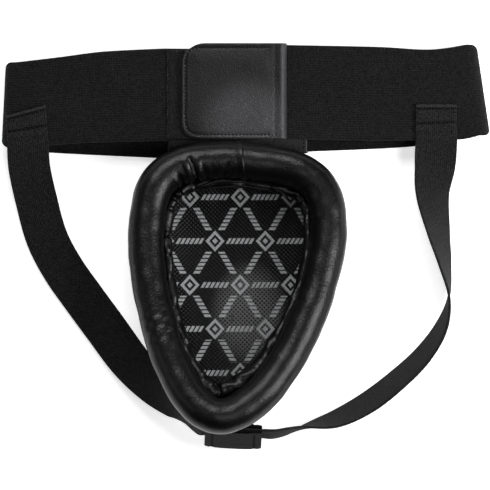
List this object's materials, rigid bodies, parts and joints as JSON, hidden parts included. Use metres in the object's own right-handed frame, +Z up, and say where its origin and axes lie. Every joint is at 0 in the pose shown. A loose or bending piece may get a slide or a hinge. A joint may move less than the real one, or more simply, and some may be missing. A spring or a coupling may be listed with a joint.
{
  "type": "groin protector",
  "caption": "Padded groin cup with a moulded shell, on an elastic waistband with a hook-and-loop closure tab and elastic leg straps, laid out with its body side up.",
  "frame": {"origin": "on the surface that the part lies on, under the middle of the whole part", "axes": "+Z up, away from the surface; +Y from the cup to the waistband; +X to the right when it is seen from above with the waistband at the far side"},
  "size_m": [0.3264, 0.2706, 0.0792],
  "materials": {
    "leather": "black synthetic leather, fine grain, glossy where it is stretched",
    "elastic": "black knitted elastic with fine ribs, matte",
    "lining": null,
    "foam": "closed-cell foam",
    "shell": "moulded black polypropylene",
    "loop_pile": "black brushed loop pile",
    "hook_tape": "black moulded hooks on woven tape",
    "thread": "black polyester thread"
  },
  "bodies": {
    "waist_front": {"front_panel_outer": "leather", "front_panel_inner": "leather", "panel_seam_left": "thread", "panel_seam_right": "thread", "waistband_front_left": "elastic", "waistband_front_right": "elastic", "waistband_fold_left": "elastic", "waistband_fold_right": "elastic", "cup_neck": "leather", "leg_strap_left": "elastic", "leg_strap_right": "elastic"},
    "cup": {"cup_lining": "lining", "cup_foam_liner": "foam", "cup_shell": "shell", "cup_outer_cover": "leather", "rim_foam_core": "foam", "rim_cover": "leather", "rim_cover_splice": "leather", "rim_welt": "leather", "rim_stitching": "thread", "strap_tab": "leather", "leg_strap_left_tail": "elastic", "leg_strap_right_tail": "elastic", "strap_tab_stitching_left": "thread", "strap_tab_stitching_right": "thread"},
    "band_left": {"waistband_back_left": "elastic", "loop_patch": "loop_pile", "loop_patch_stitching": "thread", "leg_strap_left_hem": "elastic", "leg_strap_left_stitch_upper": "thread", "leg_strap_left_stitch_lower": "thread"},
    "band_right": {"waistband_back_right": "elastic", "leg_strap_right_hem": "elastic", "leg_strap_right_stitch_upper": "thread", "leg_strap_right_stitch_lower": "thread", "closure_tab_root": "leather"},
    "closure_tab": {"closure_tab_face": "leather", "closure_tab_backing": "leather", "hook_patch": "hook_tape", "closure_tab_stitching": "thread"}
  },
  "joints": [
    {"name": "cup_fold", "type": "hinge", "parent": "waist_front", "child": "cup", "pos_m": [-0.00147, 0.06396, 0.027], "axis": [-1, 0, 0], "range_deg": [0, 30], "deforming": ["cup_neck", "leg_strap_left", "leg_strap_right"]},
    {"name": "right_hip", "type": "hinge", "parent": "waist_front", "child": "band_right", "pos_m": [0.15183, 0.10396, 0.0082], "axis": [-0.1469, 0.9892, 0], "range_deg": [0, 100], "deforming": ["waistband_fold_right", "leg_strap_right"]},
    {"name": "left_hip", "type": "hinge", "parent": "waist_front", "child": "band_left", "pos_m": [-0.15487, 0.09396, 0.0082], "axis": [-0.0491, -0.9988, 0], "range_deg": [0, 80], "deforming": ["waistband_fold_left", "leg_strap_left"]},
    {"name": "closure_peel", "type": "hinge", "parent": "band_right", "child": "closure_tab", "pos_m": [0.01453, 0.10096, 0.0208], "axis": [0, 1, 0], "range_deg": [0, 150]}
  ],
  "couplings": [
    {"joint": "left_hip", "follows": "right_hip", "ratio": 0.8}
  ]
}
